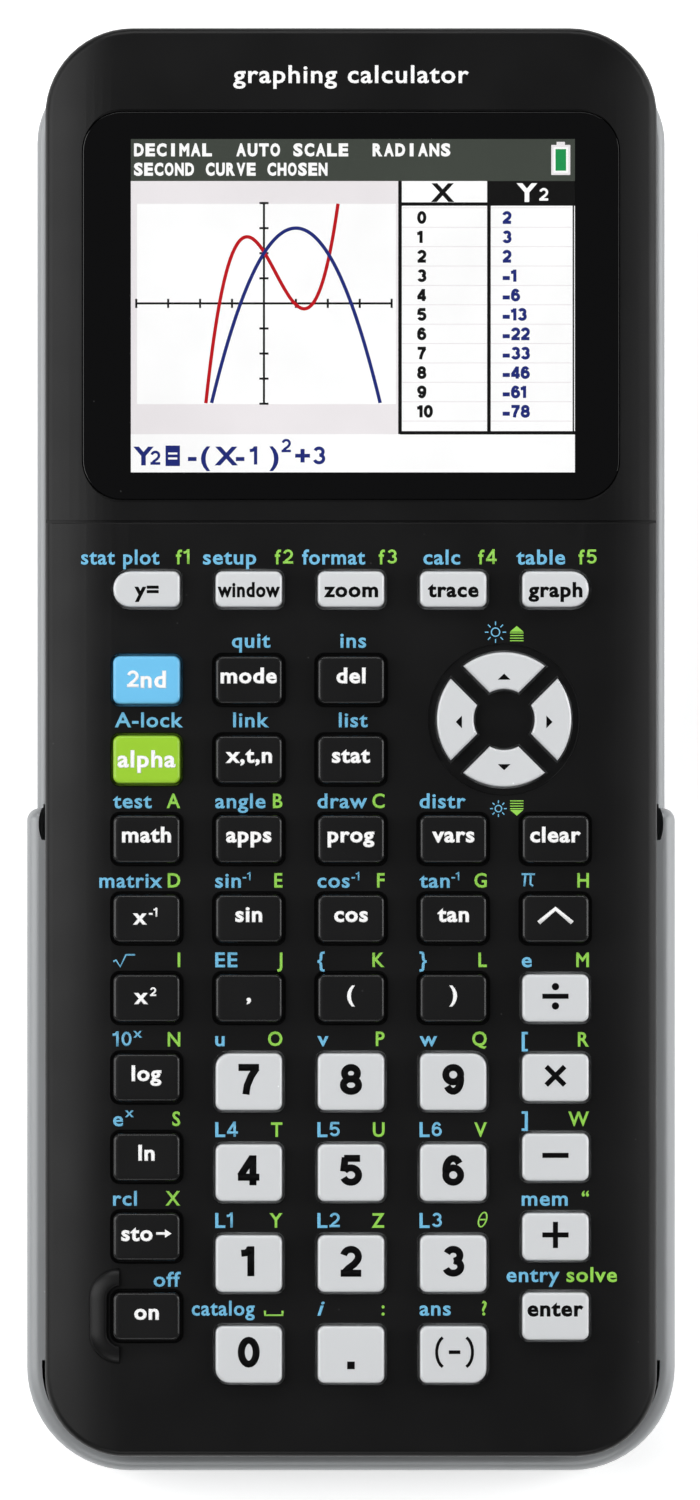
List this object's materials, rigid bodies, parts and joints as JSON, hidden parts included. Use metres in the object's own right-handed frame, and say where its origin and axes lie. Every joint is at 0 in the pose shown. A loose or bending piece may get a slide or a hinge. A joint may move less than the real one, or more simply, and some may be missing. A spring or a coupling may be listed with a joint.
{
  "type": "graphing calculator",
  "caption": "Slim handheld graphing calculator with a colour screen, a ring of arrow keys, a full keypad and a slide case clipped over its back.",
  "frame": {"origin": "middle of the slide case's flat back, at the bottom centre of the whole object", "axes": "+Y along the length towards the screen end, +Z out of the key face, +X to the right of the keys"},
  "size_m": [0.0856, 0.19, 0.0217],
  "materials": {
    "front_black": "satin black moulding",
    "rear_black": "fine textured black moulding",
    "key_black": "satin",
    "key_white": "satin",
    "key_blue": "satin",
    "key_green": "satin",
    "case_silver": "satin metallic silver",
    "screen_lens": "polished",
    "grey_rubber": "matte",
    "board_green": "solder mask",
    "battery_wrap": "satin wrap",
    "display_metal": "fine brushed"
  },
  "bodies": {
    "housing": {"front_shell": "front_black", "rear_shell": "rear_black", "battery_cover": "rear_black", "battery_pack": "battery_wrap", "main_board": "board_green", "keypad_membrane": "grey_rubber", "display_module": "display_metal", "display_window": "screen_lens"},
    "slide_case": {"slide_case": "case_silver"},
    "reset_button": {"reset_button": "grey_rubber"},
    "key_y_equals": {"key_y_equals": "key_white"},
    "key_window": {"key_window": "key_white"},
    "key_zoom": {"key_zoom": "key_white"},
    "key_trace": {"key_trace": "key_white"},
    "key_graph": {"key_graph": "key_white"},
    "key_second": {"key_second": "key_blue"},
    "key_mode": {"key_mode": "key_black"},
    "key_delete": {"key_delete": "key_black"},
    "key_up": {"key_up": "key_white"},
    "key_left": {"key_left": "key_white"},
    "key_down": {"key_down": "key_white"},
    "key_right": {"key_right": "key_white"},
    "key_alpha": {"key_alpha": "key_green"},
    "key_variable": {"key_variable": "key_black"},
    "key_statistics": {"key_statistics": "key_black"},
    "key_maths": {"key_maths": "key_black"},
    "key_applications": {"key_applications": "key_black"},
    "key_program": {"key_program": "key_black"},
    "key_variables": {"key_variables": "key_black"},
    "key_clear": {"key_clear": "key_black"},
    "key_reciprocal": {"key_reciprocal": "key_black"},
    "key_sine": {"key_sine": "key_black"},
    "key_cosine": {"key_cosine": "key_black"},
    "key_tangent": {"key_tangent": "key_black"},
    "key_power": {"key_power": "key_black"},
    "key_square": {"key_square": "key_black"},
    "key_comma": {"key_comma": "key_black"},
    "key_open_bracket": {"key_open_bracket": "key_black"},
    "key_close_bracket": {"key_close_bracket": "key_black"},
    "key_divide": {"key_divide": "key_white"},
    "key_log": {"key_log": "key_black"},
    "key_7": {"key_7": "key_white"},
    "key_8": {"key_8": "key_white"},
    "key_9": {"key_9": "key_white"},
    "key_multiply": {"key_multiply": "key_white"},
    "key_ln": {"key_ln": "key_black"},
    "key_4": {"key_4": "key_white"},
    "key_5": {"key_5": "key_white"},
    "key_6": {"key_6": "key_white"},
    "key_minus": {"key_minus": "key_white"},
    "key_store": {"key_store": "key_black"},
    "key_1": {"key_1": "key_white"},
    "key_2": {"key_2": "key_white"},
    "key_3": {"key_3": "key_white"},
    "key_plus": {"key_plus": "key_white"},
    "key_on": {"key_on": "key_black"},
    "key_0": {"key_0": "key_white"},
    "key_point": {"key_point": "key_white"},
    "key_negative": {"key_negative": "key_white"},
    "key_enter": {"key_enter": "key_white"}
  },
  "joints": [
    {"name": "slide_case_travel", "type": "slide", "parent": "housing", "child": "slide_case", "axis": [0, -1, 0], "range_m": [0, 0.2]},
    {"name": "reset_press", "type": "slide", "parent": "housing", "child": "reset_button", "axis": [0, 0, 1], "range_m": [0, 0.0007], "stiffness_N_per_m": 800},
    {"name": "press_y_equals", "type": "slide", "parent": "housing", "child": "key_y_equals", "axis": [0, 0, -1], "range_m": [0, 0.001], "stiffness_N_per_m": 600, "deforming": ["keypad_membrane"]},
    {"name": "press_window", "type": "slide", "parent": "housing", "child": "key_window", "axis": [0, 0, -1], "range_m": [0, 0.001], "stiffness_N_per_m": 600, "deforming": ["keypad_membrane"]},
    {"name": "press_zoom", "type": "slide", "parent": "housing", "child": "key_zoom", "axis": [0, 0, -1], "range_m": [0, 0.001], "stiffness_N_per_m": 600, "deforming": ["keypad_membrane"]},
    {"name": "press_trace", "type": "slide", "parent": "housing", "child": "key_trace", "axis": [0, 0, -1], "range_m": [0, 0.001], "stiffness_N_per_m": 600, "deforming": ["keypad_membrane"]},
    {"name": "press_graph", "type": "slide", "parent": "housing", "child": "key_graph", "axis": [0, 0, -1], "range_m": [0, 0.001], "stiffness_N_per_m": 600, "deforming": ["keypad_membrane"]},
    {"name": "press_second", "type": "slide", "parent": "housing", "child": "key_second", "axis": [0, 0, -1], "range_m": [0, 0.001], "stiffness_N_per_m": 600, "deforming": ["keypad_membrane"]},
    {"name": "press_mode", "type": "slide", "parent": "housing", "child": "key_mode", "axis": [0, 0, -1], "range_m": [0, 0.001], "stiffness_N_per_m": 600, "deforming": ["keypad_membrane"]},
    {"name": "press_delete", "type": "slide", "parent": "housing", "child": "key_delete", "axis": [0, 0, -1], "range_m": [0, 0.001], "stiffness_N_per_m": 600, "deforming": ["keypad_membrane"]},
    {"name": "press_up", "type": "slide", "parent": "housing", "child": "key_up", "axis": [0, 0, -1], "range_m": [0, 0.001], "stiffness_N_per_m": 600, "deforming": ["keypad_membrane"]},
    {"name": "press_left", "type": "slide", "parent": "housing", "child": "key_left", "axis": [0, 0, -1], "range_m": [0, 0.001], "stiffness_N_per_m": 600, "deforming": ["keypad_membrane"]},
    {"name": "press_down", "type": "slide", "parent": "housing", "child": "key_down", "axis": [0, 0, -1], "range_m": [0, 0.001], "stiffness_N_per_m": 600, "deforming": ["keypad_membrane"]},
    {"name": "press_right", "type": "slide", "parent": "housing", "child": "key_right", "axis": [0, 0, -1], "range_m": [0, 0.001], "stiffness_N_per_m": 600, "deforming": ["keypad_membrane"]},
    {"name": "press_alpha", "type": "slide", "parent": "housing", "child": "key_alpha", "axis": [0, 0, -1], "range_m": [0, 0.001], "stiffness_N_per_m": 600, "deforming": ["keypad_membrane"]},
    {"name": "press_variable", "type": "slide", "parent": "housing", "child": "key_variable", "axis": [0, 0, -1], "range_m": [0, 0.001], "stiffness_N_per_m": 600, "deforming": ["keypad_membrane"]},
    {"name": "press_statistics", "type": "slide", "parent": "housing", "child": "key_statistics", "axis": [0, 0, -1], "range_m": [0, 0.001], "stiffness_N_per_m": 600, "deforming": ["keypad_membrane"]},
    {"name": "press_maths", "type": "slide", "parent": "housing", "child": "key_maths", "axis": [0, 0, -1], "range_m": [0, 0.001], "stiffness_N_per_m": 600, "deforming": ["keypad_membrane"]},
    {"name": "press_applications", "type": "slide", "parent": "housing", "child": "key_applications", "axis": [0, 0, -1], "range_m": [0, 0.001], "stiffness_N_per_m": 600, "deforming": ["keypad_membrane"]},
    {"name": "press_program", "type": "slide", "parent": "housing", "child": "key_program", "axis": [0, 0, -1], "range_m": [0, 0.001], "stiffness_N_per_m": 600, "deforming": ["keypad_membrane"]},
    {"name": "press_variables", "type": "slide", "parent": "housing", "child": "key_variables", "axis": [0, 0, -1], "range_m": [0, 0.001], "stiffness_N_per_m": 600, "deforming": ["keypad_membrane"]},
    {"name": "press_clear", "type": "slide", "parent": "housing", "child": "key_clear", "axis": [0, 0, -1], "range_m": [0, 0.001], "stiffness_N_per_m": 600, "deforming": ["keypad_membrane"]},
    {"name": "press_reciprocal", "type": "slide", "parent": "housing", "child": "key_reciprocal", "axis": [0, 0, -1], "range_m": [0, 0.001], "stiffness_N_per_m": 600, "deforming": ["keypad_membrane"]},
    {"name": "press_sine", "type": "slide", "parent": "housing", "child": "key_sine", "axis": [0, 0, -1], "range_m": [0, 0.001], "stiffness_N_per_m": 600, "deforming": ["keypad_membrane"]},
    {"name": "press_cosine", "type": "slide", "parent": "housing", "child": "key_cosine", "axis": [0, 0, -1], "range_m": [0, 0.001], "stiffness_N_per_m": 600, "deforming": ["keypad_membrane"]},
    {"name": "press_tangent", "type": "slide", "parent": "housing", "child": "key_tangent", "axis": [0, 0, -1], "range_m": [0, 0.001], "stiffness_N_per_m": 600, "deforming": ["keypad_membrane"]},
    {"name": "press_power", "type": "slide", "parent": "housing", "child": "key_power", "axis": [0, 0, -1], "range_m": [0, 0.001], "stiffness_N_per_m": 600, "deforming": ["keypad_membrane"]},
    {"name": "press_square", "type": "slide", "parent": "housing", "child": "key_square", "axis": [0, 0, -1], "range_m": [0, 0.001], "stiffness_N_per_m": 600, "deforming": ["keypad_membrane"]},
    {"name": "press_comma", "type": "slide", "parent": "housing", "child": "key_comma", "axis": [0, 0, -1], "range_m": [0, 0.001], "stiffness_N_per_m": 600, "deforming": ["keypad_membrane"]},
    {"name": "press_open_bracket", "type": "slide", "parent": "housing", "child": "key_open_bracket", "axis": [0, 0, -1], "range_m": [0, 0.001], "stiffness_N_per_m": 600, "deforming": ["keypad_membrane"]},
    {"name": "press_close_bracket", "type": "slide", "parent": "housing", "child": "key_close_bracket", "axis": [0, 0, -1], "range_m": [0, 0.001], "stiffness_N_per_m": 600, "deforming": ["keypad_membrane"]},
    {"name": "press_divide", "type": "slide", "parent": "housing", "child": "key_divide", "axis": [0, 0, -1], "range_m": [0, 0.001], "stiffness_N_per_m": 600, "deforming": ["keypad_membrane"]},
    {"name": "press_log", "type": "slide", "parent": "housing", "child": "key_log", "axis": [0, 0, -1], "range_m": [0, 0.001], "stiffness_N_per_m": 600, "deforming": ["keypad_membrane"]},
    {"name": "press_7", "type": "slide", "parent": "housing", "child": "key_7", "axis": [0, 0, -1], "range_m": [0, 0.001], "stiffness_N_per_m": 600, "deforming": ["keypad_membrane"]},
    {"name": "press_8", "type": "slide", "parent": "housing", "child": "key_8", "axis": [0, 0, -1], "range_m": [0, 0.001], "stiffness_N_per_m": 600, "deforming": ["keypad_membrane"]},
    {"name": "press_9", "type": "slide", "parent": "housing", "child": "key_9", "axis": [0, 0, -1], "range_m": [0, 0.001], "stiffness_N_per_m": 600, "deforming": ["keypad_membrane"]},
    {"name": "press_multiply", "type": "slide", "parent": "housing", "child": "key_multiply", "axis": [0, 0, -1], "range_m": [0, 0.001], "stiffness_N_per_m": 600, "deforming": ["keypad_membrane"]},
    {"name": "press_ln", "type": "slide", "parent": "housing", "child": "key_ln", "axis": [0, 0, -1], "range_m": [0, 0.001], "stiffness_N_per_m": 600, "deforming": ["keypad_membrane"]},
    {"name": "press_4", "type": "slide", "parent": "housing", "child": "key_4", "axis": [0, 0, -1], "range_m": [0, 0.001], "stiffness_N_per_m": 600, "deforming": ["keypad_membrane"]},
    {"name": "press_5", "type": "slide", "parent": "housing", "child": "key_5", "axis": [0, 0, -1], "range_m": [0, 0.001], "stiffness_N_per_m": 600, "deforming": ["keypad_membrane"]},
    {"name": "press_6", "type": "slide", "parent": "housing", "child": "key_6", "axis": [0, 0, -1], "range_m": [0, 0.001], "stiffness_N_per_m": 600, "deforming": ["keypad_membrane"]},
    {"name": "press_minus", "type": "slide", "parent": "housing", "child": "key_minus", "axis": [0, 0, -1], "range_m": [0, 0.001], "stiffness_N_per_m": 600, "deforming": ["keypad_membrane"]},
    {"name": "press_store", "type": "slide", "parent": "housing", "child": "key_store", "axis": [0, 0, -1], "range_m": [0, 0.001], "stiffness_N_per_m": 600, "deforming": ["keypad_membrane"]},
    {"name": "press_1", "type": "slide", "parent": "housing", "child": "key_1", "axis": [0, 0, -1], "range_m": [0, 0.001], "stiffness_N_per_m": 600, "deforming": ["keypad_membrane"]},
    {"name": "press_2", "type": "slide", "parent": "housing", "child": "key_2", "axis": [0, 0, -1], "range_m": [0, 0.001], "stiffness_N_per_m": 600, "deforming": ["keypad_membrane"]},
    {"name": "press_3", "type": "slide", "parent": "housing", "child": "key_3", "axis": [0, 0, -1], "range_m": [0, 0.001], "stiffness_N_per_m": 600, "deforming": ["keypad_membrane"]},
    {"name": "press_plus", "type": "slide", "parent": "housing", "child": "key_plus", "axis": [0, 0, -1], "range_m": [0, 0.001], "stiffness_N_per_m": 600, "deforming": ["keypad_membrane"]},
    {"name": "press_on", "type": "slide", "parent": "housing", "child": "key_on", "axis": [0, 0, -1], "range_m": [0, 0.001], "stiffness_N_per_m": 600, "deforming": ["keypad_membrane"]},
    {"name": "press_0", "type": "slide", "parent": "housing", "child": "key_0", "axis": [0, 0, -1], "range_m": [0, 0.001], "stiffness_N_per_m": 600, "deforming": ["keypad_membrane"]},
    {"name": "press_point", "type": "slide", "parent": "housing", "child": "key_point", "axis": [0, 0, -1], "range_m": [0, 0.001], "stiffness_N_per_m": 600, "deforming": ["keypad_membrane"]},
    {"name": "press_negative", "type": "slide", "parent": "housing", "child": "key_negative", "axis": [0, 0, -1], "range_m": [0, 0.001], "stiffness_N_per_m": 600, "deforming": ["keypad_membrane"]},
    {"name": "press_enter", "type": "slide", "parent": "housing", "child": "key_enter", "axis": [0, 0, -1], "range_m": [0, 0.001], "stiffness_N_per_m": 600, "deforming": ["keypad_membrane"]}
  ]
}
